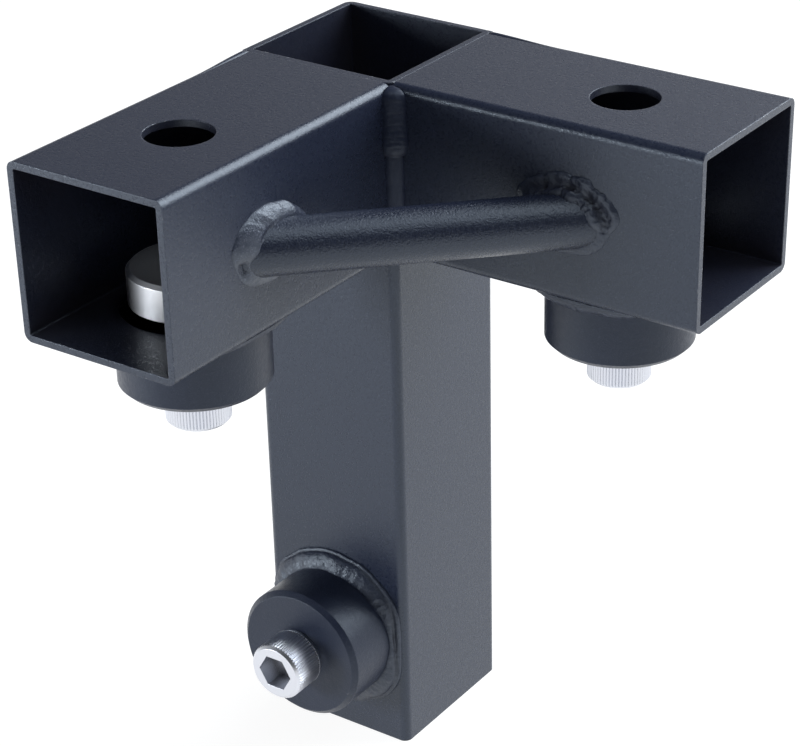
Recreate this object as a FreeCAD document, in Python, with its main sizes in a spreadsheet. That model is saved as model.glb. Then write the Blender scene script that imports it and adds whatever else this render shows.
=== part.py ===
import FreeCAD, Part
import os
import Sketcher
from FreeCAD import Placement, Rotation, Vector

# Three-way corner connector welded from square tubes.
# Frame: +Z up, origin at the centre of the upright's open foot. The left arm runs along -Y
# and the right arm along +X. Both arms end flush with the top of the upright.
# Each of the three sockets has a clamp: a cup-shaped boss welded outside the tube, a socket head
# screw through its floor and a pressure disc that turns freely on the screw's inner end.

os.makedirs("parts", exist_ok=True)
doc = FreeCAD.newDocument("CornerConnector")
sheet = doc.addObject("Spreadsheet::Sheet", "Sizes")

# Driving dimensions, in millimetres
SIZES = {
    # square tubes
    "tube_width": 50,
    "tube_wall": 2,
    "tube_corner": 2.5,
    "upright_height": 215,
    "arm_length": 95,
    # places of the clamps, from the open end of their tube
    "arm_clamp_inset": 37,
    "leg_clamp_inset": 35,
    "access_hole_diameter": 19,
    # clamp boss, narrower than the tube by a gap at each side
    "boss_side_gap": 4,
    "boss_height": 20,
    "boss_chamfer": 1.5,
    "cup_wall": 2,
    "cup_depth": 8.5,
    # clamp screw, M12 with a cylindrical head
    "thread_diameter": 12,
    "thread_play": 0.05,
    "head_diameter": 18,
    "head_height": 12,
    "head_chamfer": 1,
    "foot_band": 1.6,
    "foot_taper": 0.6,
    "socket_width": 10,
    "socket_depth": 6,
    # grip ridges round the screw's head
    "knurl_count": 60,
    "knurl_depth": 0.35,
    "knurl_width": 0.75,
    # pressure disc and the journal that it turns on
    "disc_gap": 2.5,
    "disc_thickness": 10,
    "disc_chamfer": 1.1,
    "disc_lift": 2,
    "journal_diameter": 8,
    "journal_play": 0.08,
    "recess_diameter": 14,
    "recess_depth": 3.6,
    # retaining screw, M5 with a low head
    "retainer_thread": 5,
    "retainer_play": 0.05,
    "retainer_length": 12,
    "retainer_head_diameter": 11,
    "retainer_head_height": 2.8,
    "retainer_chamfer": 0.5,
    "retainer_socket": 3,
    "retainer_socket_depth": 1.7,
    "tapping_runout": 1.3,
    "end_play": 0.2,
    # round brace between the arms
    "brace_diameter": 15,
    "brace_reach": 81,
    "brace_drop": 26.5,
    # weld beads
    "weld_root": 1.7,
    "corner_leg": 3.8,
    "corner_throat": 3,
    "seam_leg": 3.5,
    "seam_fill": 1.8,
    "boss_weld_overrun": 0.5,
    "boss_weld_rise": 3,
    "brace_weld_reach": 3.7,
    "brace_weld_side": 4,
    "brace_weld_rise": 5.5,
    "weld_toe": 0.3,
}
for row, (word, value) in enumerate(SIZES.items(), start=1):
    sheet.set(f"A{row}", word)
    sheet.set(f"B{row}", str(value))
    sheet.setAlias(f"B{row}", word)
doc.recompute()

# Lengths derived from the sizes
HALF = "(tube_width / 2)"
INNER_HALF = "(tube_width / 2 - tube_wall)"
ARM_END = "(tube_width / 2 + arm_length)"
ARM_AXIS = "(upright_height - tube_width / 2)"
ARM_BOTTOM = "(upright_height - tube_width)"
BRACE_HEIGHT = "(upright_height - brace_drop)"
CLAMP_REACH = f"({ARM_END} - arm_clamp_inset)"
ARM_CLAMP_FACE = f"({ARM_BOTTOM} - boss_height)"
BOSS_RADIUS = "(tube_width / 2 - boss_side_gap)"
CUP_RADIUS = f"({BOSS_RADIUS} - cup_wall)"
DISC_RADIUS = f"({CUP_RADIUS} - disc_gap)"
DISC_FOOT = "(boss_height + tube_wall + disc_lift)"
DISC_TOP = f"({DISC_FOOT} + disc_thickness)"
RECESS_FLOOR = f"({DISC_TOP} - recess_depth)"
JOURNAL_TOP = f"({RECESS_FLOOR} + end_play)"


def bound(expression):
    """The expression with every size word pointing at the sheet."""
    out = []
    word = ""
    for letter in str(expression) + " ":
        if letter.isalnum() or letter == "_":
            word += letter
            continue
        out.append("Sizes." + word if word in SIZES else word)
        out.append(letter)
        word = ""
    return "".join(out).strip()


def bind(obj, **expressions):
    """Drives properties of an object by expressions; '__' stands for the dot of a path."""
    for path, expression in expressions.items():
        obj.setExpression(path.replace("__", "."), bound(expression))
    return obj


def present(expression):
    """The present value of an expression of size words."""
    return float(sheet.evalExpression(bound(expression)))


def turned(x_goes_to, y_goes_to):
    """The rotation that takes X and Y to two given perpendicular directions."""
    z_goes_to = Vector(*x_goes_to).cross(Vector(*y_goes_to))
    return Rotation(Vector(*x_goes_to), Vector(*y_goes_to), z_goes_to, "XYZ")


def place(obj, rotation, x="0", y="0", z="0"):
    """Turns an object and binds its position."""
    obj.Placement = Placement(Vector(present(x), present(y), present(z)), rotation)
    return bind(obj, Placement__Base__x=x, Placement__Base__y=y, Placement__Base__z=z)


def new_body(label):
    body = doc.addObject("PartDesign::Body", label)
    body.Label = label
    return body


def new_sketch(body, name, role, height="0"):
    """A sketch on one of the body's own origin planes, or at a height over it."""
    sketch = body.newObject("Sketcher::SketchObject", name)
    planes = {feature.Role: feature for feature in body.Origin.OriginFeatures}
    sketch.AttachmentSupport = [(planes[role], "")]
    sketch.MapMode = "FlatFace"
    return bind(sketch, AttachmentOffset__Base__z=height)


def constrain(sketch, kind, where, label, expression):
    """Adds a driven distance or diameter, named so that the sheet can set it."""
    index = sketch.addConstraint(Sketcher.Constraint(kind, *where, present(expression)))
    sketch.renameConstraint(index, label)
    sketch.setExpression("Constraints." + label, bound(expression))


def draw_outline(sketch, corners):
    """A closed outline of straight lines; each corner is a pair of expressions."""
    points = [Vector(present(x), present(y), 0) for x, y in corners]
    count = len(points)
    for i in range(count):
        sketch.addGeometry(Part.LineSegment(points[i], points[(i + 1) % count]), False)
    for i in range(count):
        sketch.addConstraint(Sketcher.Constraint("Coincident", i, 2, (i + 1) % count, 1))
    for i, (x, y) in enumerate(corners):
        constrain(sketch, "DistanceX", (-1, 1, i, 1), f"x{i}", x)
        constrain(sketch, "DistanceY", (-1, 1, i, 1), f"y{i}", y)
    return sketch


def draw_circle(sketch, x, y, radius):
    centre = Vector(present(x), present(y), 0)
    sketch.addGeometry(Part.Circle(centre, Vector(0, 0, 1), present(radius)), False)
    constrain(sketch, "DistanceX", (-1, 1, 0, 3), "x0", x)
    constrain(sketch, "DistanceY", (-1, 1, 0, 3), "y0", y)
    constrain(sketch, "Radius", (0,), "radius", radius)
    return sketch


def pad(body, name, sketch, length, symmetric=False):
    feature = body.newObject("PartDesign::Pad", name)
    feature.Profile = sketch
    if symmetric:
        feature.SideType = "Symmetric"
    return bind(feature, Length=length)


def pocket(body, name, sketch, length, reverse=False):
    feature = body.newObject("PartDesign::Pocket", name)
    feature.Profile = sketch
    feature.Reversed = reverse
    return bind(feature, Length=length)


def revolve(body, name, corners):
    """Revolves an outline of (radius, height) corners about the body's own Z axis."""
    sketch = draw_outline(new_sketch(body, name + "Profile", "XZ_Plane"), corners)
    feature = body.newObject("PartDesign::Revolution", name)
    feature.Profile = sketch
    feature.ReferenceAxis = (sketch, ["V_Axis"])
    feature.Angle = 360
    return feature


def round_corners(body, name, base, reach, radius):
    """Rounds the long edges of a square tube, whose middles lie at +-reach in both X and Y."""
    doc.recompute()
    names = []
    for i, edge in enumerate(base.Shape.Edges, start=1):
        middle = edge.BoundBox.Center
        off_corner = max(abs(abs(middle.x) - present(reach)), abs(abs(middle.y) - present(reach)))
        if off_corner < 1e-6 and edge.BoundBox.ZLength > 1:
            names.append(f"Edge{i}")
    feature = body.newObject("PartDesign::Fillet", name)
    feature.Base = (base, names)
    return bind(feature, Radius=radius)


def join(kind, label, base, tool):
    """A boolean of two objects: Part::Cut, Part::Common or Part::Fuse."""
    result = doc.addObject(kind, label)
    result.Base = base
    result.Tool = tool
    result.Label = label
    return result


# Square tubes
# In its own frame a tube stands on its open end at z = 0. Its boss side faces -Y.

def make_tube(label, length, clamp_inset):
    body = new_body(label)
    outlines = {}
    for name, half in (("Outer", HALF), ("Inner", INNER_HALF)):
        corners = [(f"-{half}", f"-{half}"), (half, f"-{half}"), (half, half), (f"-{half}", half)]
        outlines[name] = (half, corners)
    half, corners = outlines["Outer"]
    solid = pad(body, "Outside", draw_outline(new_sketch(body, "OuterSquare", "XY_Plane"), corners), length)
    round_corners(body, "OuterCorners", solid, half, "tube_corner")
    half, corners = outlines["Inner"]
    square = draw_outline(new_sketch(body, "InnerSquare", "XY_Plane"), corners)
    hollow = pocket(body, "Hollow", square, length, reverse=True)
    round_corners(body, "InnerCorners", hollow, half, "tube_corner - tube_wall")
    circle = draw_circle(new_sketch(body, "CupCircle", "XZ_Plane"), "0", clamp_inset, CUP_RADIUS)
    pocket(body, "CupHole", circle, HALF, reverse=True)
    access_radius = "access_hole_diameter / 2"
    circle = draw_circle(new_sketch(body, "AccessCircle", "XZ_Plane"), "0", clamp_inset, access_radius)
    pocket(body, "AccessHole", circle, HALF)
    return body


ARM_PLACES = {
    "left": (turned((-1, 0, 0), (0, 0, 1)), {"y": f"-{ARM_END}", "z": ARM_AXIS}),
    "right": (turned((0, -1, 0), (0, 0, 1)), {"x": ARM_END, "z": ARM_AXIS}),
}
upright = make_tube("upright_tube", "upright_height", "leg_clamp_inset")
arms = {}
for side, (rotation, position) in ARM_PLACES.items():
    arm = make_tube(f"{side}_arm_tube", "arm_length", "arm_clamp_inset")
    arms[side] = place(arm, rotation, **position)

# Clamps
# A clamp's own frame has its origin at the centre of the boss's outer face and +Z towards the
# inside of the tube. X runs across the tube.

def make_boss(label):
    body = new_body(label)
    bore = "thread_diameter / 2 + thread_play"
    cup_floor = "boss_height - cup_depth"
    revolve(body, "Boss", [
        (bore, "0"), (f"{BOSS_RADIUS} - boss_chamfer", "0"), (BOSS_RADIUS, "boss_chamfer"),
        (BOSS_RADIUS, "boss_height"), (CUP_RADIUS, "boss_height"), (CUP_RADIUS, cup_floor),
        (bore, cup_floor),
    ])
    return body


def make_disc(label):
    body = new_body(label)
    bore = "journal_diameter / 2 + journal_play"
    recess = "recess_diameter / 2"
    revolve(body, "Disc", [
        (bore, DISC_FOOT), (DISC_RADIUS, DISC_FOOT), (DISC_RADIUS, f"{DISC_TOP} - disc_chamfer"),
        (f"{DISC_RADIUS} - disc_chamfer", DISC_TOP), (recess, DISC_TOP), (recess, RECESS_FLOOR),
        (bore, RECESS_FLOOR),
    ])
    return body


def cut_hexagon(body, width, height, depth, reverse):
    """A hexagonal socket of a width across flats, sunk from a height."""
    corner = f"{width} / sqrt(3)"
    corners = [(f"{corner} * cos({k * 60} deg)", f"{corner} * sin({k * 60} deg)") for k in range(6)]
    sketch = draw_outline(new_sketch(body, "SocketOutline", "XY_Plane", height), corners)
    pocket(body, "Socket", sketch, depth, reverse)


def cut_knurl(body):
    """Straight V grooves round the head, from its plain foot band out through the front chamfer."""
    rim = "head_diameter / 2"
    outline = [
        (f"{rim} - knurl_depth", "0"), (f"{rim} + knurl_depth", "-knurl_width"),
        (f"{rim} + knurl_depth", "knurl_width"),
    ]
    sketch = draw_outline(new_sketch(body, "GrooveOutline", "XY_Plane", "-foot_band"), outline)
    groove = pocket(body, "Groove", sketch, "head_height")
    axes = {feature.Role: feature for feature in body.Origin.OriginFeatures}
    knurl = body.newObject("PartDesign::PolarPattern", "Knurl")
    knurl.Originals = [groove]
    knurl.Axis = (axes["Z_Axis"], [""])
    knurl.Angle = 360
    bind(knurl, Occurrences="knurl_count")
    body.Tip = knurl


def make_screw(label):
    body = new_body(label)
    head = "head_diameter / 2"
    shank = "thread_diameter / 2"
    journal = "journal_diameter / 2"
    tapping = "retainer_thread / 2 + retainer_play"
    tapping_floor = f"{JOURNAL_TOP} - retainer_length - tapping_runout"
    revolve(body, "Blank", [
        ("0", "-head_height"), (f"{head} - head_chamfer", "-head_height"),
        (head, "-head_height + head_chamfer"), (head, "-foot_band"), (f"{head} - foot_taper", "0"),
        (shank, "0"), (shank, DISC_FOOT), (journal, DISC_FOOT), (journal, JOURNAL_TOP),
        (tapping, JOURNAL_TOP), (tapping, tapping_floor), ("0", tapping_floor),
    ])
    doc.recompute()
    cut_hexagon(body, "socket_width", "-head_height", "socket_depth", reverse=True)
    cut_knurl(body)
    return body


def make_retainer(label):
    body = new_body(label)
    head = "retainer_head_diameter / 2"
    thread = "retainer_thread / 2"
    head_top = f"{JOURNAL_TOP} + retainer_head_height"
    foot = f"{JOURNAL_TOP} - retainer_length"
    revolve(body, "Blank", [
        ("0", foot), (thread, foot), (thread, JOURNAL_TOP), (head, JOURNAL_TOP),
        (head, f"{head_top} - retainer_chamfer"), (f"{head} - retainer_chamfer", head_top),
        ("0", head_top),
    ])
    doc.recompute()
    cut_hexagon(body, "retainer_socket", head_top, "retainer_socket_depth", reverse=False)
    return body


# Weld beads

def bead_face(x, y, x_leg, y_leg):
    """The rounded face of a fillet bead about the corner (x, y), from one leg's toe to the other's."""
    return [(f"{x} + {x_leg} * sin({turn} deg)", f"{y} + {y_leg} * cos({turn} deg)")
            for turn in range(0, 91, 30)]


def make_boss_weld(label, tube, rotation, position):
    """A fillet bead round the boss. It fills the tube's rounded corners and stops at its sides."""
    ring = new_body(label + "_ring")
    reach = "(boss_side_gap + boss_weld_overrun)"
    root = "boss_height + weld_root"
    face = bead_face(BOSS_RADIUS, "boss_height", reach, "-boss_weld_rise")
    revolve(ring, "Bead", face + [(f"{BOSS_RADIUS} + {reach}", root), (BOSS_RADIUS, root)])
    place(ring, rotation, **position)
    sides = new_body(label + "_sides")
    reach = "tube_width"
    outline = [(f"-{HALF}", f"-{reach}"), (HALF, f"-{reach}"), (HALF, reach), (f"-{HALF}", reach)]
    pad(sides, "Width", draw_outline(new_sketch(sides, "Outline", "XY_Plane"), outline), "boss_height * 2")
    place(sides, rotation, **position)
    return join("Part::Cut", label, join("Part::Common", label + "_trimmed", ring, sides), tube)


def cut_by(label, bead, neighbours):
    """The bead less the pieces around it."""
    around = doc.addObject("Part::MultiFuse", label + "_around")
    around.Shapes = neighbours
    return join("Part::Cut", label, bead, around)


def make_bead(label, role, outline, length, rotation, position):
    """A straight bead of an outline, half to each side of the outline's plane."""
    body = new_body(label)
    pad(body, "Bead", draw_outline(new_sketch(body, "Outline", role), outline), length, symmetric=True)
    return place(body, rotation, **position)


def make_under_weld(label, side, neighbours):
    """The fillet bead across the underside of an arm, where it meets the upright.

    Drawn in the arm's own frame, where the upright's face is at z = arm_length."""
    face = bead_face(f"-{HALF}", "arm_length", "-seam_leg", "-seam_leg")
    outline = face + [(f"-{HALF} - seam_leg", "arm_length + weld_root"),
                      (f"-{HALF} + weld_root", "arm_length + weld_root"),
                      (f"-{HALF} + weld_root", "arm_length - seam_leg")]
    bead = make_bead(label + "_bead", "YZ_Plane", outline, "tube_width", *ARM_PLACES[side])
    return cut_by(label, bead, neighbours)


def make_side_weld(label, side, outward, neighbours):
    """The fill between an arm's end and the upright's rounded corner, ground flush with the tubes."""
    root = f"{outward}({HALF} - weld_root)"
    flush = f"{outward}{HALF}"
    outline = [(root, "arm_length"), (flush, "arm_length"), (flush, "arm_length + seam_fill"),
               (root, "arm_length + seam_fill")]
    bead = make_bead(label + "_bead", "XZ_Plane", outline, "tube_width", *ARM_PLACES[side])
    return cut_by(label, bead, neighbours)


def make_corner_weld(label):
    """The upright bead in the corner between the two arms, down to their undersides."""
    body = new_body(label)
    throat = "corner_throat / sqrt(2)"
    outline = [(HALF, f"-{HALF}"), (HALF, f"-{HALF} - corner_leg"),
               (f"{HALF} + {throat}", f"-{HALF} - {throat}"), (f"{HALF} + corner_leg", f"-{HALF}")]
    sketch = draw_outline(new_sketch(body, "Outline", "XY_Plane"), outline)
    pad(body, "Bead", sketch, "tube_width - tube_corner")
    return place(body, Rotation(), z=ARM_BOTTOM)


def make_brace_weld(label, rotation, x, y, away):
    """A collar round a foot of the brace, wide on the arm's face and closing on the bar.

    The bar leaves this foot towards +X and +Y, or towards -X and -Y where away is a minus."""
    across = "brace_diameter / 2"
    along = "brace_diameter / sqrt(2)"
    ends = (
        ("foot", f"{along} + brace_weld_reach", f"{across} + brace_weld_side", "0"),
        ("top", f"{along} - weld_toe", f"{across} - weld_toe", f"{away}brace_weld_rise"),
    )
    rings = []
    for end, major, minor, shift in ends:
        ring = doc.addObject("Part::Ellipse", f"{label}_{end}")
        bind(ring, MajorRadius=major, MinorRadius=minor)
        rings.append(place(ring, rotation, x=f"{x} + {shift}", y=f"{y} + {shift}", z=BRACE_HEIGHT))
    collar = doc.addObject("Part::Loft", label + "_collar")
    collar.Sections = rings
    collar.Solid = True
    collar.Ruled = True
    return join("Part::Cut", label, collar, brace)


# The three clamps on their tubes

SOCKETS = {
    "left": (arms["left"], turned((1, 0, 0), (0, 1, 0)), {"y": f"-{CLAMP_REACH}", "z": ARM_CLAMP_FACE}),
    "right": (arms["right"], turned((0, 1, 0), (-1, 0, 0)), {"x": CLAMP_REACH, "z": ARM_CLAMP_FACE}),
    "leg": (upright, turned((1, 0, 0), (0, 0, -1)), {"y": f"-{HALF} - boss_height", "z": "leg_clamp_inset"}),
}
MAKERS = {
    "clamp_boss": make_boss,
    "clamp_disc": make_disc,
    "clamp_screw": make_screw,
    "disc_retainer": make_retainer,
}
clamp_parts = []
for socket, (tube, rotation, position) in SOCKETS.items():
    for name, make in MAKERS.items():
        clamp_parts.append(place(make(f"{socket}_{name}"), rotation, **position))
    clamp_parts.append(make_boss_weld(f"{socket}_boss_weld", tube, rotation, position))

# Brace bar
# A round bar set at 45 degrees between the inner faces of the arms, its ends cut to lie flat.

MARGIN = "brace_diameter * 1.5"
stock = doc.addObject("Part::Cylinder", "brace_stock")
bind(stock, Radius="brace_diameter / 2", Height=f"(brace_reach - {HALF} + 2 * {MARGIN}) * sqrt(2)")
place(stock, Rotation(Vector(0, 0, 1), Vector(1, 1, 0)),
      x=f"{HALF} - {MARGIN}", y=f"-brace_reach - {MARGIN}", z=BRACE_HEIGHT)
space = doc.addObject("Part::Box", "brace_corner_space")
bind(space, Length=f"brace_reach + {MARGIN}", Width=f"brace_reach + {MARGIN}", Height=f"2 * {MARGIN}")
place(space, Rotation(), x=HALF, y=f"-{HALF} - brace_reach - {MARGIN}", z=f"{BRACE_HEIGHT} - {MARGIN}")
brace = join("Part::Common", "brace_bar", stock, space)

ON_LEFT_ARM = turned((0, 1, 0), (0, 0, 1))
ON_RIGHT_ARM = turned((1, 0, 0), (0, 0, 1))
left_under = make_under_weld("left_arm_under_weld", "left", [upright, arms["left"]])
right_under = make_under_weld("right_arm_under_weld", "right", [upright, arms["right"], left_under])
frame_welds = [
    left_under,
    right_under,
    make_side_weld("left_arm_side_weld", "left", "", [upright, left_under]),
    make_side_weld("right_arm_side_weld", "right", "-", [upright, right_under]),
    make_corner_weld("inner_corner_weld"),
    make_brace_weld("left_brace_weld", ON_LEFT_ARM, HALF, "-brace_reach", ""),
    make_brace_weld("right_brace_weld", ON_RIGHT_ARM, "brace_reach", f"-{HALF}", "-"),
]
doc.recompute()

# Check and write every sub-part

sub_parts = [upright, arms["left"], arms["right"], brace] + frame_welds + clamp_parts
for obj in doc.Objects:
    if "Invalid" in obj.State or "Error" in obj.State:
        raise RuntimeError(f"{obj.Label} failed: {obj.State}")
for part in sub_parts:
    if part.Shape.isNull() or not part.Shape.isValid() or len(part.Shape.Solids) != 1:
        raise RuntimeError(f"{part.Label} is not one valid solid")
for part in sub_parts:
    part.Shape.exportStep(f"parts/{part.Label}.step")
    print(f"{part.Label:22s} {part.Shape.Volume:10.1f} mm3")
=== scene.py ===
import math

import bmesh
import bpy
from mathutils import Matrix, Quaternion, Vector, noise


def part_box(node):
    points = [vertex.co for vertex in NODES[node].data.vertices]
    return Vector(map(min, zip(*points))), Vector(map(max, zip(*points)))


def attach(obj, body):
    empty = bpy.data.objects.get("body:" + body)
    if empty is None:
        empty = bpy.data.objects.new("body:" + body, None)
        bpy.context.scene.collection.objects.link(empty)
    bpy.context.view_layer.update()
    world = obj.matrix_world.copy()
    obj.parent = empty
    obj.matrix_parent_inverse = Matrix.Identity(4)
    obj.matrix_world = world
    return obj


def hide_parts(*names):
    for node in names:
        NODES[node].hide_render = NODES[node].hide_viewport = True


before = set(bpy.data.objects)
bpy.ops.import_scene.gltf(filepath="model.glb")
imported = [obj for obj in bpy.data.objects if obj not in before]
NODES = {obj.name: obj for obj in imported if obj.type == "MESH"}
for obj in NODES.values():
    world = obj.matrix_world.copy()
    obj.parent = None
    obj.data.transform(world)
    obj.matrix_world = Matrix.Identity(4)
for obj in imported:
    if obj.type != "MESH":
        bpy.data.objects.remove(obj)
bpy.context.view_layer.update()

# Looks of the three-way tube connector: powder-coated welded steel with plated clamp screws.
# Lengths are in metres unless a name says otherwise, and colours are linear.

MM = 0.001
X, Y, Z = Vector((1, 0, 0)), Vector((0, 1, 0)), Vector((0, 0, 1))


# Camera

CAMERA_PLACE = Vector((0.3884, -0.5318, 0.4455))
CAMERA_AZIMUTH = math.radians(33.24)
CAMERA_ELEVATION = math.radians(29.75)
CAMERA_ROLL = math.radians(-0.28)
SENSOR_WIDTH_IN_MM = 36.0
FOCAL_IN_PICTURE_WIDTHS = 3.07
SHIFT = (-0.113, 0.149)


def add_camera():
    data = bpy.data.cameras.new("camera")
    data.sensor_width = SENSOR_WIDTH_IN_MM
    data.lens = SENSOR_WIDTH_IN_MM * FOCAL_IN_PICTURE_WIDTHS
    data.shift_x, data.shift_y = SHIFT
    camera = bpy.data.objects.new("camera", data)
    bpy.context.scene.collection.objects.link(camera)
    bpy.context.scene.camera = camera
    back = Vector((
        math.sin(CAMERA_AZIMUTH) * math.cos(CAMERA_ELEVATION),
        -math.cos(CAMERA_AZIMUTH) * math.cos(CAMERA_ELEVATION),
        math.sin(CAMERA_ELEVATION),
    ))
    camera.rotation_mode = "QUATERNION"
    camera.rotation_quaternion = back.to_track_quat("Z", "Y") @ Quaternion((0, 0, 1), CAMERA_ROLL)
    camera.location = CAMERA_PLACE


# Shader helpers

SHADER_SAMPLES = 4
GRAIN_DETAIL = 2.0
GRAIN_ROUGHNESS = 0.6

# The Mix node's colour sockets, which come after those for numbers and vectors.
MIX_COLOUR_INPUTS = (6, 7)
MIX_COLOUR_OUTPUT = 2


def opaque(colour):
    return (*colour, 1.0)


def new_material(name):
    material = bpy.data.materials.new(name)
    material.use_nodes = True
    tree = material.node_tree
    tree.nodes.clear()
    out = tree.nodes.new("ShaderNodeOutputMaterial")
    return material, tree, out


def node(tree, kind, inputs=None, **properties):
    """Adds a shader node; inputs are constants or other nodes' output sockets, by name or index."""
    made = tree.nodes.new(kind)
    for key, value in properties.items():
        setattr(made, key, value)
    for key, value in (inputs or {}).items():
        socket = made.inputs[key]
        if isinstance(value, bpy.types.NodeSocket):
            tree.links.new(value, socket)
        else:
            socket.default_value = value
    return made


def math_node(tree, operation, a, b, clamp=False):
    made = node(tree, "ShaderNodeMath", {0: a, 1: b}, operation=operation, use_clamp=clamp)
    return made.outputs[0]


def dot_product(tree, a, b):
    made = node(tree, "ShaderNodeVectorMath", {0: a, 1: b}, operation="DOT_PRODUCT")
    return made.outputs["Value"]


def ramp(tree, value, low, high, out_low=0.0, out_high=1.0):
    """A smooth step of a value between two thresholds."""
    made = node(tree, "ShaderNodeMapRange", {
        "Value": value, "From Min": low, "From Max": high, "To Min": out_low, "To Max": out_high,
    }, interpolation_type="SMOOTHSTEP")
    return made.outputs["Result"]


def mix_colour(tree, factor, a, b):
    made = node(tree, "ShaderNodeMix", {"Factor": factor}, data_type="RGBA")
    for index, colour in zip(MIX_COLOUR_INPUTS, (a, b)):
        if isinstance(colour, bpy.types.NodeSocket):
            tree.links.new(colour, made.inputs[index])
        else:
            made.inputs[index].default_value = opaque(colour)
    return made.outputs[MIX_COLOUR_OUTPUT]


def grain_of(tree, place, size):
    """Noise with grains of about the given size."""
    made = node(tree, "ShaderNodeTexNoise", {
        "Vector": place, "Scale": 1 / size, "Detail": GRAIN_DETAIL, "Roughness": GRAIN_ROUGHNESS,
    })
    return made.outputs["Fac"]


def openness_of(tree, distance):
    """1 on a piece's outer faces, and towards 0 where its own walls stand close round a point."""
    made = node(tree, "ShaderNodeAmbientOcclusion", {"Distance": distance},
                samples=SHADER_SAMPLES, only_local=True)
    return made.outputs["AO"]


def rounded_normal(tree, radius):
    made = node(tree, "ShaderNodeBevel", {"Radius": radius}, samples=SHADER_SAMPLES)
    return made.outputs["Normal"]


def bumped_normal(tree, height, distance, strength, normal):
    made = node(tree, "ShaderNodeBump", {
        "Strength": strength, "Distance": distance, "Height": height, "Normal": normal,
    })
    return made.outputs["Normal"]


# Materials

COAT_COLOUR = (0.016, 0.021, 0.042)
COAT_LIGHT = (0.046, 0.054, 0.088)
# Paler flecks and edges of the left brace bead: painted light that the bead catches.
PAINTED_LIGHT_PALE = (0.110, 0.120, 0.170)
# Near-black painted shade, towards which the coat darkens inside the tubes and in recesses.
RECESS_SHADE = (0.005, 0.001, 0.004)
COAT_SHEEN = (0.80, 0.90, 1.0)
COAT_IOR = 1.5
COAT_GRAIN_HEIGHT = 0.06 * MM
BARE_METAL = (0.42, 0.43, 0.46)
EDGE_ROUND = 0.45 * MM
NICK_SIZE = 2.4 * MM
RECESS = 40 * MM

# Thresholds, from where an effect begins to where it is full.
EDGE_AGREEMENT = (0.99, 0.80)
FLECK_GRAIN = (0.52, 0.72)
NICK_GRAIN = (0.62, 0.68)
DULL_GRAIN = (0.3, 0.7)
# Openness over which the painted shade and the rougher surface inside the tubes fade out.
SHADE_OPENNESS = (0.45, 0.97)

# How much rougher the dull patches are than the glossy ones.
DULLER = 0.12


def powder_coat(name, bump, fine_size, coarse_size, flecks, sheen=0.70, gloss=0.30,
                light=COAT_LIGHT):
    """Dark blue-grey powder coat: an orange-peel grain, paler flecks, thin edges with wear and bare
    nicks, and painted shade with a duller, rougher surface where the piece's own walls close
    round, inside the tubes. Dense flecks, as on the welds, are partly painted glints.

    gloss is the roughness of the glossy patches, and light the colour of flecks and edges."""
    material, tree, out = new_material(name)
    place = node(tree, "ShaderNodeTexCoord").outputs["Object"]
    fine = grain_of(tree, place, fine_size)
    coarse = grain_of(tree, place, coarse_size)
    flat = node(tree, "ShaderNodeNewGeometry").outputs["Normal"]
    rounded = rounded_normal(tree, EDGE_ROUND)
    height = math_node(tree, "ADD", fine, coarse)
    normal = bumped_normal(tree, height, COAT_GRAIN_HEIGHT, bump, rounded)

    edge = ramp(tree, dot_product(tree, rounded, flat), *EDGE_AGREEMENT)
    # Flecks are paler grain; dense ones, as on the welds, are partly painted glints.
    fleck = ramp(tree, fine, *FLECK_GRAIN, 0.0, flecks)
    made_paler = math_node(tree, "MAXIMUM", edge, fleck)
    chipped = ramp(tree, grain_of(tree, place, NICK_SIZE), *NICK_GRAIN)
    nick = math_node(tree, "MULTIPLY", edge, chipped)
    coated = mix_colour(tree, nick, mix_colour(tree, made_paler, COAT_COLOUR, light), BARE_METAL)

    # Painted shade: inside the tubes and wherever the piece's own walls close round, the colour
    # goes to near-black and the surface gets rougher.
    openness = openness_of(tree, RECESS)
    colour = mix_colour(tree, ramp(tree, openness, *SHADE_OPENNESS), RECESS_SHADE, coated)
    roughness = math_node(tree, "MAXIMUM",
                          ramp(tree, coarse, *DULL_GRAIN, gloss, gloss + DULLER),
                          ramp(tree, openness, *SHADE_OPENNESS, 1.0, 0.0))
    shader = node(tree, "ShaderNodeBsdfPrincipled", {
        "Base Color": colour, "Roughness": roughness, "IOR": COAT_IOR, "Normal": normal,
        "Specular IOR Level": sheen, "Specular Tint": opaque(COAT_SHEEN),
    })
    tree.links.new(shader.outputs[0], out.inputs["Surface"])
    return material


# Painted shade in sockets and knurl grooves: the colour they darken to, and the depth over which
# walls count.
SOCKET_SHADE = (0.10, 0.10, 0.11)
SOCKET_DEPTH = 7 * MM
SOCKET_OPENNESS = (0.15, 0.65)
METAL_GRAIN = 0.5 * MM
METAL_GRAIN_HEIGHT = 0.03 * MM


def metal(name, colour, roughness, bump):
    """Plated or ground metal, with painted shade darkening it in its sockets and grooves."""
    material, tree, out = new_material(name)
    place = node(tree, "ShaderNodeTexCoord").outputs["Object"]
    height = grain_of(tree, place, METAL_GRAIN)
    rounded = rounded_normal(tree, EDGE_ROUND / 2)
    normal = bumped_normal(tree, height, METAL_GRAIN_HEIGHT, bump, rounded)
    # Painted shade: the colour darkens in sockets and grooves, where the piece's own walls close
    # round.
    unshaded = ramp(tree, openness_of(tree, SOCKET_DEPTH), *SOCKET_OPENNESS)
    shader = node(tree, "ShaderNodeBsdfPrincipled", {
        "Base Color": mix_colour(tree, unshaded, SOCKET_SHADE, colour), "Metallic": 1.0,
        "Roughness": roughness, "Normal": normal,
    })
    tree.links.new(shader.outputs[0], out.inputs["Surface"])
    return material


# Floor, world and lamps

WHITE = (1.0, 1.0, 1.0)
FLOOR_REACH = 12.0
FLOOR_GLOW = 0.92
FLOOR_MATTE = (0.22, 0.22, 0.22)
FLOOR_BOUNCE = (0.75, 0.75, 0.76)


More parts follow.
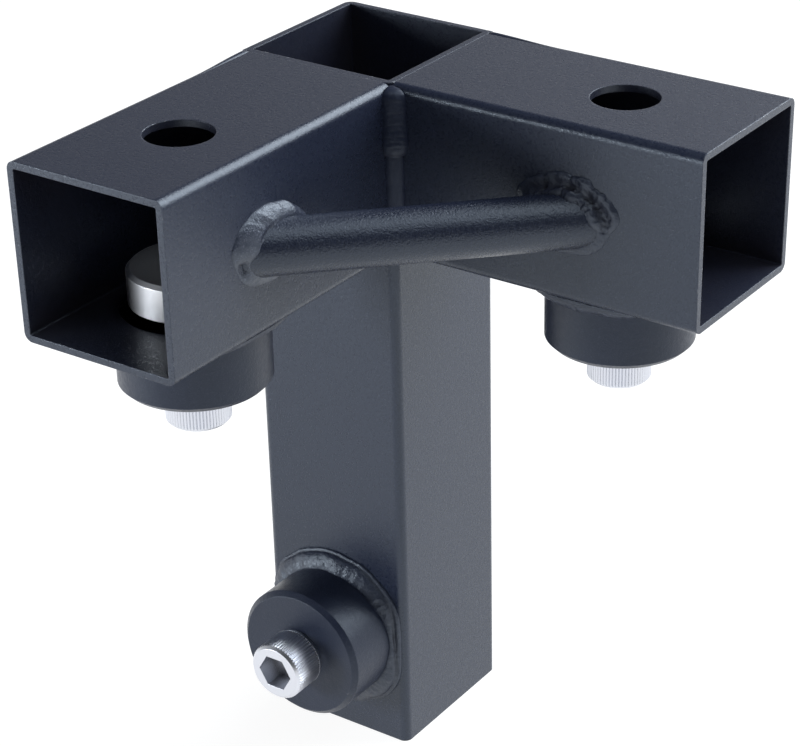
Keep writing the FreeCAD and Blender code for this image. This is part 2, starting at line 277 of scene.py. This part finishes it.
def seen_directly(tree):
    """1 for rays from the camera, a mirror or glass, and 0 for light that falls on the object."""
    path = node(tree, "ShaderNodeLightPath")
    total = math_node(tree, "ADD", path.outputs["Is Camera Ray"], path.outputs["Is Glossy Ray"])
    return math_node(tree, "ADD", total, path.outputs["Is Transmission Ray"], clamp=True)


def add_floor():
    """It glows white where it is seen, and throws plain light back at the object."""
    far = FLOOR_REACH
    mesh = bpy.data.meshes.new("floor")
    mesh.from_pydata([(-far, -far, 0), (far, -far, 0), (far, far, 0), (-far, far, 0)], [],
                     [(0, 1, 2, 3)])
    floor = bpy.data.objects.new("floor", mesh)
    bpy.context.scene.collection.objects.link(floor)
    material, tree, out = new_material("floor")
    glow = node(tree, "ShaderNodeEmission", {"Color": opaque(WHITE), "Strength": FLOOR_GLOW})
    matte = node(tree, "ShaderNodeBsdfDiffuse", {"Color": opaque(FLOOR_MATTE)})
    bright = node(tree, "ShaderNodeAddShader", {0: glow.outputs[0], 1: matte.outputs[0]})
    plain = node(tree, "ShaderNodeBsdfDiffuse", {"Color": opaque(FLOOR_BOUNCE)})
    mixed = node(tree, "ShaderNodeMixShader", {
        0: seen_directly(tree), 1: plain.outputs[0], 2: bright.outputs[0],
    })
    tree.links.new(mixed.outputs[0], out.inputs["Surface"])
    mesh.materials.append(material)


HORIZON_LIGHT = 0.82
CEILING_LIGHT = 0.05
CEILING_SPREAD = (0.1, 0.58)
DARK_WAY = (0.50, -0.86, 0.0)
DARK_LIGHT = 0.12
DARK_SPREAD = (0.1, 0.8)
DIM_WAY = (-1.0, 0.0, 0.0)
DIM_LIGHT = 0.55
DIM_SPREAD = (0.40, 0.70)


def add_world():
    """White at the horizon, with a dim ceiling, a dark front and a dim left side."""
    world = bpy.data.worlds.new("studio")
    bpy.context.scene.world = world
    world.use_nodes = True
    tree = world.node_tree
    tree.nodes.clear()
    out = tree.nodes.new("ShaderNodeOutputWorld")
    way = node(tree, "ShaderNodeTexCoord").outputs["Generated"]
    height = node(tree, "ShaderNodeSeparateXYZ", {0: way}).outputs["Z"]
    front = ramp(tree, dot_product(tree, way, DARK_WAY), *DARK_SPREAD, 1.0, DARK_LIGHT)
    left = ramp(tree, dot_product(tree, way, DIM_WAY), *DIM_SPREAD, 1.0, DIM_LIGHT)
    above = ramp(tree, height, *CEILING_SPREAD, HORIZON_LIGHT, CEILING_LIGHT)
    strength = math_node(tree, "MULTIPLY", math_node(tree, "MULTIPLY", front, left), above)
    sky = node(tree, "ShaderNodeBackground", {"Color": opaque(WHITE), "Strength": strength})
    tree.links.new(sky.outputs[0], out.inputs["Surface"])


LAMP_COLOUR = (0.90, 0.95, 1.0)
LAMP_AIM = Vector((0.02, -0.02, 0.15))


def add_lamp(name, place, width, height, power):
    """A rectangular lamp that faces the object; its power is in watts."""
    data = bpy.data.lights.new(name, "AREA")
    data.color = LAMP_COLOUR
    data.shape = "RECTANGLE"
    data.size, data.size_y = width, height
    data.energy = power
    lamp = bpy.data.objects.new(name, data)
    bpy.context.scene.collection.objects.link(lamp)
    lamp.location = place
    lamp.rotation_euler = (Vector(place) - LAMP_AIM).to_track_quat("Z", "Y").to_euler()


# Functions that shape the weld beads

def bell(value, middle, width, height=1.0):
    return height * math.exp(-((value - middle) / width) ** 2)


def smooth(value, low, high):
    """A smooth step from 0 to 1 between two thresholds."""
    t = min(1.0, max(0.0, (value - low) / (high - low)))
    return t * t * (3 - 2 * t)


def between(pair, share):
    """The number at a share of the way from the first of a pair to the second."""
    return pair[0] + (pair[1] - pair[0]) * share


def all_between(low, high, share):
    """The same for each number of two lists."""
    return [between(pair, share) for pair in zip(low, high)]


def from_start(t):
    """A place on a closed bead as a share of the way round, from -0.5 to 0.5."""
    return (t + 0.5) % 1.0 - 0.5


def rough(place, size, seed):
    """Smooth noise from -1 to 1 with lumps of about the given size."""
    return noise.noise(place / size + Vector((seed, 2 * seed, 3 * seed)))


def lumps(place, layers, seed):
    """Layers of noise, each given as its height, the size of its lumps and a step of the seed."""
    return sum(height * rough(place, size, seed + step) for height, size, step in layers)


LAG = 1.2 * MM


def arcs(distance, s, pitch):
    """The ripples that a weld pool leaves: rounded crests with sharp valleys, from 0 to 1."""
    lag = LAG * (2 * s - 1) ** 2
    phase = ((distance + lag) / pitch) % 1.0
    return 4 * phase * (1 - phase)


# Swept pieces

STEP_ALONG = 0.35 * MM
STEPS_ACROSS = 26
SINK = 0.25 * MM


def add_piece(name, mesh, replaced, material):
    piece = bpy.data.objects.new(name, mesh)
    bpy.context.scene.collection.objects.link(piece)
    mesh.materials.append(material)
    for polygon in mesh.polygons:
        polygon.use_smooth = True
    if replaced:
        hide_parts(replaced)
    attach(piece, "frame")


def add_swept(name, rows, closed, replaced, material):
    """A solid skin through rows of points, each row a section of the piece."""
    count, width = len(rows), len(rows[0])
    faces = []
    for i in range(count if closed else count - 1):
        below, above = i * width, (i + 1) % count * width
        for j in range(width):
            k = (j + 1) % width
            faces.append((below + j, below + k, above + k, above + j))
    if not closed:
        faces.append(tuple(range(width)))
        faces.append(tuple(reversed(range((count - 1) * width, count * width))))
    mesh = bpy.data.meshes.new(name)
    mesh.from_pydata([point for row in rows for point in row], [], faces)
    cleaner = bmesh.new()
    cleaner.from_mesh(mesh)
    bmesh.ops.recalc_face_normals(cleaner, faces=cleaner.faces)
    cleaner.to_mesh(mesh)
    cleaner.free()
    add_piece(name, mesh, replaced, material)


def add_bead(name, replaced, length, closed, spine, legs, relief, material):
    """A bead in the corner of two surfaces, swept along it.

    t runs along the bead from 0 to 1, and s across it. spine(t) gives the corner's point and the
    directions away from it on both surfaces. legs(t, point) gives how far the bead reaches on
    each and the power of its section, where 1 is round and 2 is flat. relief(t, s, point) gives
    how far the skin lies outside that section; it fades out at both toes. The bead's flanks sink
    a little into the surfaces."""
    count = round(length / STEP_ALONG)
    rows = []
    for i in range(count if closed else count + 1):
        t = i / count
        root, out_a, out_b = spine(t)
        reach_a, reach_b, power = legs(t, root)
        outward = (out_a + out_b).normalized()
        row = [root + out_a * reach_a - out_b * SINK]
        for j in range(STEPS_ACROSS + 1):
            s = j / STEPS_ACROSS
            turn = s * math.pi / 2
            point = root + out_a * reach_a * max(0.0, math.cos(turn)) ** power
            point += out_b * reach_b * max(0.0, math.sin(turn)) ** power
            hold = math.sin(math.pi * s) ** 0.5 if 0 < s < 1 else 0.0
            row.append(point + outward * relief(t, s, point) * hold)
        row.append(root - out_a * SINK + out_b * reach_b)
        row.append(root - out_a * SINK - out_b * SINK)
        rows.append(row)
    add_swept(name, rows, closed, replaced, material)


# Welds round the clamp bosses

# Each clamp's axis, a direction across it, and the seed of its bead.
CLAMPS = {"left": (-Z, X, 4), "right": (-Z, Y, 5), "leg": (-Y, X, 3)}
TUBE_CORNER = 2.5 * MM
LEAST_COSINE = 0.05

# How far the bead reaches over the tube and rises on the boss.
RING_REACH = 5.4 * MM
RING_REACH_LUMPS = ((0.50 * MM, 6.0 * MM, 0), (0.25 * MM, 1.5 * MM, 0))
RING_RISE = 4.0 * MM
RING_RISE_LUMPS = ((0.50 * MM, 5.0 * MM, 1), (0.20 * MM, 1.3 * MM, 0))
RING_POWER = 1.35

# Its skin: the ripples begin across the bead at RIPPLED, drift from their pitch and fade in places.
RING_LUMPS = ((0.12 * MM, 1.4 * MM, 0), (0.12 * MM, 0.6 * MM, 0))
RING_RIPPLE = 0.08 * MM
RING_PITCH = 1.9 * MM
RIPPLED = (0.25, 0.45)
DRIFT = 1.4 * MM
DRIFT_SIZE = 9 * MM
FADE_SIZE = 7 * MM

# Middle, width and height across the bead; the crevice takes the groove deeper, to the boss.
RIDGE = (0.14, 0.08, 0.28 * MM)
GROOVE = (0.26, 0.07, 0.42 * MM)
CREVICE = (0.52, 0.13, 0.82 * MM)

# Middle and width of the crevice round the bead, and the shares by which rise and ridge are less.
CREVICE_ROUND = (0.02, 0.075)
CREVICE_SINK = 0.35
CREVICE_WITHOUT_RIDGE = 0.9


def add_boss_weld(side, material):
    axis, across, seed = CLAMPS[side]
    up = axis.cross(across)
    if up.dot(Z) < 0:
        up = -up
    low, high = (Vector(corner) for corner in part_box(f"{side}_clamp_boss"))
    middle = (low + high) / 2
    half_height = abs((high - low).dot(axis)) / 2
    radius = abs((high - low).dot(across)) / 2
    seat = middle - axis * half_height
    tube_low, tube_high = (Vector(corner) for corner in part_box("upright_tube"))
    flat_side = (tube_high - tube_low).x / 2 - TUBE_CORNER / 2

    def spine(t):
        angle = math.tau * t
        out = across * math.cos(angle) + up * math.sin(angle)
        return seat + out * radius, out, axis

    def crevice_at(t):
        """1 where the second pass leaves a crevice beside the boss, and 0 elsewhere."""
        return bell(from_start(t), *CREVICE_ROUND)

    def legs(t, root):
        """Its reach stays on the flat side of the tube, which is hardly wider than the boss."""
        reach = RING_REACH + lumps(root, RING_REACH_LUMPS, seed)
        room = flat_side / max(LEAST_COSINE, abs(math.cos(math.tau * t))) - radius
        limited = reach * room / (reach ** 4 + room ** 4) ** 0.25
        rise = RING_RISE + lumps(root, RING_RISE_LUMPS, seed)
        return limited, rise * (1 - CREVICE_SINK * crevice_at(t)), RING_POWER

    def relief(t, s, point):
        crevice = crevice_at(t)
        groove = bell(s, *all_between(GROOVE, CREVICE, crevice))
        ridge = bell(s, *RIDGE) * (1 - CREVICE_WITHOUT_RIDGE * crevice)
        drift = DRIFT * rough(point, DRIFT_SIZE, seed + 2)
        clear = 0.5 + 0.5 * rough(point, FADE_SIZE, seed + 3)
        ripple = RING_RIPPLE * clear * arcs(t * math.tau * radius + drift, s, RING_PITCH)
        skin = lumps(point, RING_LUMPS, seed)
        return ridge + ripple * smooth(s, *RIPPLED) + skin - groove

    length = math.tau * (radius + RING_REACH / 2)
    add_bead(f"{side}_boss_bead", f"{side}_boss_weld", length, True, spine, legs, relief, material)


# Welds round the brace's ends

BRACE_SEED = 4
BRACE_PITCH = 1.8 * MM
BRACE_RIPPLE = {"left": 0.06 * MM, "right": 0.04 * MM}
BRACE_POWER = {"left": 1.3, "right": 1.05}
BRACE_LUMPS = {
    "left": ((0.12 * MM, 1.9 * MM, 2), (0.048 * MM, 0.7 * MM, 3)),
    "right": ((0.60 * MM, 1.5 * MM, 2), (0.50 * MM, 0.7 * MM, 3)),
}
TOE_LUMPS = ((1.0 * MM, 3.2 * MM, 0), (0.5 * MM, 1.1 * MM, 1))

# Each first below the bar and then over it: how far the bead reaches along the arm and along the
# bar, how ragged its toes are, and how ragged the right one's skin is.
REACH_ON_ARM = {"left": (2.2 * MM, 4.4 * MM), "right": (2.0 * MM, 5.8 * MM)}
REACH_ON_BAR = {"left": (2.0 * MM, 4.6 * MM), "right": (1.8 * MM, 3.6 * MM)}
RAGGED_TOES = {"left": (0.3, 0.3), "right": (0.4, 1.3)}
RAGGED_SKIN = (0.15, 0.60)

# From below the bar to over it, by the sine of the angle round it.
OVER_SINES = (-0.20, 0.35)

# The left bead's pit, and its gap beside the bar.
PIT_ROUND = (-0.037, 0.038)
PIT_ACROSS = (0.52, 0.30, 1.6 * MM)
GAP_ROUND = (0.145, 0.05)
GAP_ACROSS = (0.90, 0.07, 1.1 * MM)

# The right bead's trench, and how it changes in the hollow at the inner end.
TRENCH = (0.52, 0.18, 2.2 * MM)
HOLLOW_TRENCH = (0.57, 0.33, 2.6 * MM)
HOLLOW_SMOOTHER = 0.6
HOLLOW_START = (0.24, 0.30)
HOLLOW_STOP = (0.44, 0.52)


def add_brace_weld(side, material):
    """The left bead is thick and smooth over the bar; the right one is wide and ragged."""
    low, high = (Vector(corner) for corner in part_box("brace_bar"))
    radius = (high.z - low.z) / 2
    spread = radius * math.sqrt(2)
    height = (high.z + low.z) / 2
    if side == "left":
        centre, outwards, along = Vector((low.x, low.y + spread, height)), X, -Y
    else:
        centre, outwards, along = Vector((high.x - spread, high.y, height)), -Y, X
    bar_way = (outwards - along).normalized()

    def spine(t):
        angle = math.tau * t
        place = centre + along * spread * math.cos(angle) + Z * radius * math.sin(angle)
        out = (along * math.cos(angle) / spread + Z * math.sin(angle) / radius).normalized()
        return place, out, bar_way

    def over(t):
        """1 on the bar's upper half, 0 below it, where a thinner pass runs."""
        return smooth(math.sin(math.tau * t), *OVER_SINES)

    def inner_end(t):
        """1 over the bar's inner side, where the right bead's second pass is missing."""
        return smooth(t, *HOLLOW_START) * (1 - smooth(t, *HOLLOW_STOP))

    def legs(t, root):
        ragged = between(RAGGED_TOES[side], over(t)) * lumps(root, TOE_LUMPS, BRACE_SEED)
        on_arm = between(REACH_ON_ARM[side], over(t)) + ragged
        on_bar = between(REACH_ON_BAR[side], over(t)) + ragged
        return on_arm, on_bar, BRACE_POWER[side]

    def relief(t, s, point):
        ripple = BRACE_RIPPLE[side] * arcs(t * math.tau * spread, s, BRACE_PITCH)
        skin = lumps(point, BRACE_LUMPS[side], BRACE_SEED)
        if side == "left":
            pit = bell(from_start(t), *PIT_ROUND) * bell(s, *PIT_ACROSS)
            gap = bell(from_start(t), *GAP_ROUND) * bell(s, *GAP_ACROSS)
            return ripple + skin - pit - gap
        hollow = inner_end(t)
        trench = bell(s, *all_between(TRENCH, HOLLOW_TRENCH, hollow)) * over(t)
        ragged = between(RAGGED_SKIN, over(t) * (1 - HOLLOW_SMOOTHER * hollow))
        return ripple + skin * ragged - trench

    add_bead(f"{side}_brace_bead", f"{side}_brace_weld", math.tau * spread, True,
             spine, legs, relief, material)


# Weld in the corner between the arms

CORNER_SEED = 8
CORNER_POWER = 1.15
CORNER_SHARES = (1.08, 0.86)
LOWER_LEG = 3.6 * MM
LOWER_LUMPS = ((0.10 * MM, 4.0 * MM, 0),)
UPPER_LEG = 4.6 * MM
UPPER_LUMPS = ((0.20 * MM, 2.0 * MM, 1),)
CORNER_LUMP_SIZE = 1.5 * MM
CORNER_LUMP_HEIGHTS = (0.05 * MM, 0.17 * MM)
CORNER_RIPPLE = 0.16 * MM
CORNER_PITCH = 1.6 * MM

# The upper pass ends in a round, slightly swollen blob at this height.
PASS_END = 0.1975
BLOB_ROUND = 3 * MM
BLOB_SWELL = (PASS_END + 3 * MM, 4 * MM, 0.10)
PASS_RIPPLED = (PASS_END - 1 * MM, PASS_END + 1 * MM)

# It fills the hollow between the arms' rounded edges and closes in a dome just under their tops.
TOP_FILL = 2.1 * MM
DOME = 2.4 * MM
LEAST_DOME = 0.03


def add_corner_weld(material):
    low, high = (Vector(corner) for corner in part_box("inner_corner_weld"))
    corner = Vector((low.x, high.y, 0))
    bottom = low.z
    top = high.z + TOP_FILL
    length = top - bottom

    def spine(t):
        return corner + Z * (bottom + length * t), X, -Y

    def legs(t, root):
        drop = PASS_END - root.z
        blob = math.sqrt(max(0.0, 1 - max(0.0, drop / BLOB_ROUND) ** 2))
        upper = UPPER_LEG * (1 + bell(root.z, *BLOB_SWELL)) * blob
        upper += lumps(root, UPPER_LUMPS, CORNER_SEED)
        lower = LOWER_LEG + lumps(root, LOWER_LUMPS, CORNER_SEED)
        close = math.sqrt(max(LEAST_DOME, 1 - max(0.0, 1 - (top - root.z) / DOME) ** 2))
        leg = max(upper, lower) * close
        return leg * CORNER_SHARES[0], leg * CORNER_SHARES[1], CORNER_POWER

    def relief(t, s, point):
        over = smooth(point.z, *PASS_RIPPLED)
        ripple = CORNER_RIPPLE * arcs(point.z, s, CORNER_PITCH) * over
        skin = rough(point, CORNER_LUMP_SIZE, CORNER_SEED + 2)
        return ripple + between(CORNER_LUMP_HEIGHTS, over) * skin

    add_bead("inner_corner_bead", "inner_corner_weld", length, False, spine, legs, relief, material)


# Welds under the arms

UNDER_SEED = 11
UNDER_POWER = 1.3
UNDER_LEG_LUMPS = ((0.25 * MM, 3.0 * MM, 0),)
UNDER_LUMPS = ((0.15 * MM, 1.4 * MM, 1),)
UNDER_RIPPLE = 0.22 * MM
UNDER_PITCH = 1.7 * MM
TAPER = 2.5 * MM
TAPER_START = 0.4 * MM


def add_under_weld(side, material):
    low, high = (Vector(corner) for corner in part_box(f"{side}_arm_under_weld"))
    run = high - low
    if side == "left":
        start, along, outwards = Vector((low.x, high.y, high.z)), X, -Y
        length = run.x
    else:
        start, along, outwards = Vector((low.x, low.y, high.z)), Y, X
        length = run.y
    leg = run.z

    def spine(t):
        return start + along * length * t, -Z, outwards

    def legs(t, root):
        end = min(t, 1 - t) * length
        taper = math.sqrt(min(1.0, (end + TAPER_START) / TAPER))
        size = (leg + lumps(root, UNDER_LEG_LUMPS, UNDER_SEED)) * taper
        return size, size, UNDER_POWER

    def relief(t, s, point):
        ripple = UNDER_RIPPLE * arcs(t * length, s, UNDER_PITCH)
        return ripple + lumps(point, UNDER_LUMPS, UNDER_SEED)

    add_bead(f"{side}_arm_under_bead", f"{side}_arm_under_weld", length, False,
             spine, legs, relief, material)


# Ground fills at the arms' outer top edges, where they run into the upright

FILL_LENGTH = 24 * MM
FILL_STEPS = 24
FILL_TURNS = 8
FILL_RADIUS = 0.5 * MM


def add_top_fill(side, material):
    """Sharpens an arm's rounded top edge towards the upright, so that both run into one line."""
    low, high = (Vector(corner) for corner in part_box(f"{side}_arm_tube"))
    joint = Vector((low.x, high.y, high.z))
    inwards, along = (X, -Y) if side == "left" else (-Y, X)
    rows = []
    for i in range(FILL_STEPS + 1):
        t = i / FILL_STEPS
        radius = between((FILL_RADIUS, TUBE_CORNER), smooth(t, 0.0, 1.0))
        edge = joint + along * FILL_LENGTH * t
        row = [edge + (inwards - Z) * TUBE_CORNER, edge - Z * TUBE_CORNER]
        for j in range(FILL_TURNS + 1):
            turn = math.pi / 2 * j / FILL_TURNS
            point = edge + inwards * radius * (1 - math.cos(turn))
            row.append(point - Z * radius * (1 - math.sin(turn)))
        row.append(edge + inwards * TUBE_CORNER)
        rows.append(row)
    add_swept(f"{side}_top_fill", rows, False, None, material)


add_camera()
add_floor()
add_world()
add_lamp("back_right_softbox", (0.46, 0.89, 0.88), width=1.2, height=1.0, power=23.0)
add_lamp("overhead_softbox", (0.40, -0.10, 1.29), width=1.0, height=1.0, power=6.0)
add_lamp("front_left_fill", (-0.79, -1.03, 0.25), width=0.40, height=0.35, power=9.5)

COAT = powder_coat("powder_coat", bump=1.0, fine_size=0.30 * MM, coarse_size=0.9 * MM,
                   flecks=0.35, gloss=0.25)
BOSS_COAT = powder_coat("boss_coat", bump=1.5, fine_size=0.36 * MM, coarse_size=1.3 * MM,
                        flecks=0.45, sheen=0.50)
BAR_COAT = powder_coat("bar_coat", bump=2.0, fine_size=0.42 * MM, coarse_size=0.8 * MM,
                       flecks=0.45, gloss=0.24)
# Dense pale flecks on the welds are partly grain and partly painted glints.
WELD_COAT = powder_coat("weld_coat", bump=2.0, fine_size=0.42 * MM, coarse_size=0.8 * MM,
                        flecks=0.8, sheen=0.8, gloss=0.34)
# A paler, glossier copy of the weld coat for the left brace bead: its pale flecks are painted light
# that the bead catches.
PAINTED_LIGHT_COAT = powder_coat("painted_light_coat", bump=2.0, fine_size=0.42 * MM, coarse_size=0.8 * MM,
                          flecks=0.9, sheen=1.0, light=PAINTED_LIGHT_PALE)
CORNER_COAT = powder_coat("corner_coat", bump=0.8, fine_size=0.38 * MM, coarse_size=1.1 * MM,
                          flecks=0.4, sheen=0.30, gloss=0.36)
ZINC = metal("zinc_plate", (0.74, 0.76, 0.82), roughness=0.34, bump=0.15)
STEEL = metal("bright_steel", (0.93, 0.94, 0.97), roughness=0.43, bump=0.1)

# Materials of the CAD nodes by the last word of their names; all others have the plain coat.
FINISHES = {"bar": BAR_COAT, "boss": BOSS_COAT, "screw": ZINC, "retainer": ZINC, "disc": STEEL}
for name, cad in NODES.items():
    cad.data.materials.clear()
    cad.data.materials.append(FINISHES.get(name.split("_")[-1], COAT))

for side in CLAMPS:
    add_boss_weld(side, WELD_COAT)
# The left brace bead gets the copy of the weld coat with painted light.
add_brace_weld("left", PAINTED_LIGHT_COAT)
add_brace_weld("right", WELD_COAT)
for side in ("left", "right"):
    add_under_weld(side, WELD_COAT)
    add_top_fill(side, COAT)
add_corner_weld(CORNER_COAT)

bpy.context.scene.view_settings.view_transform = "Standard"
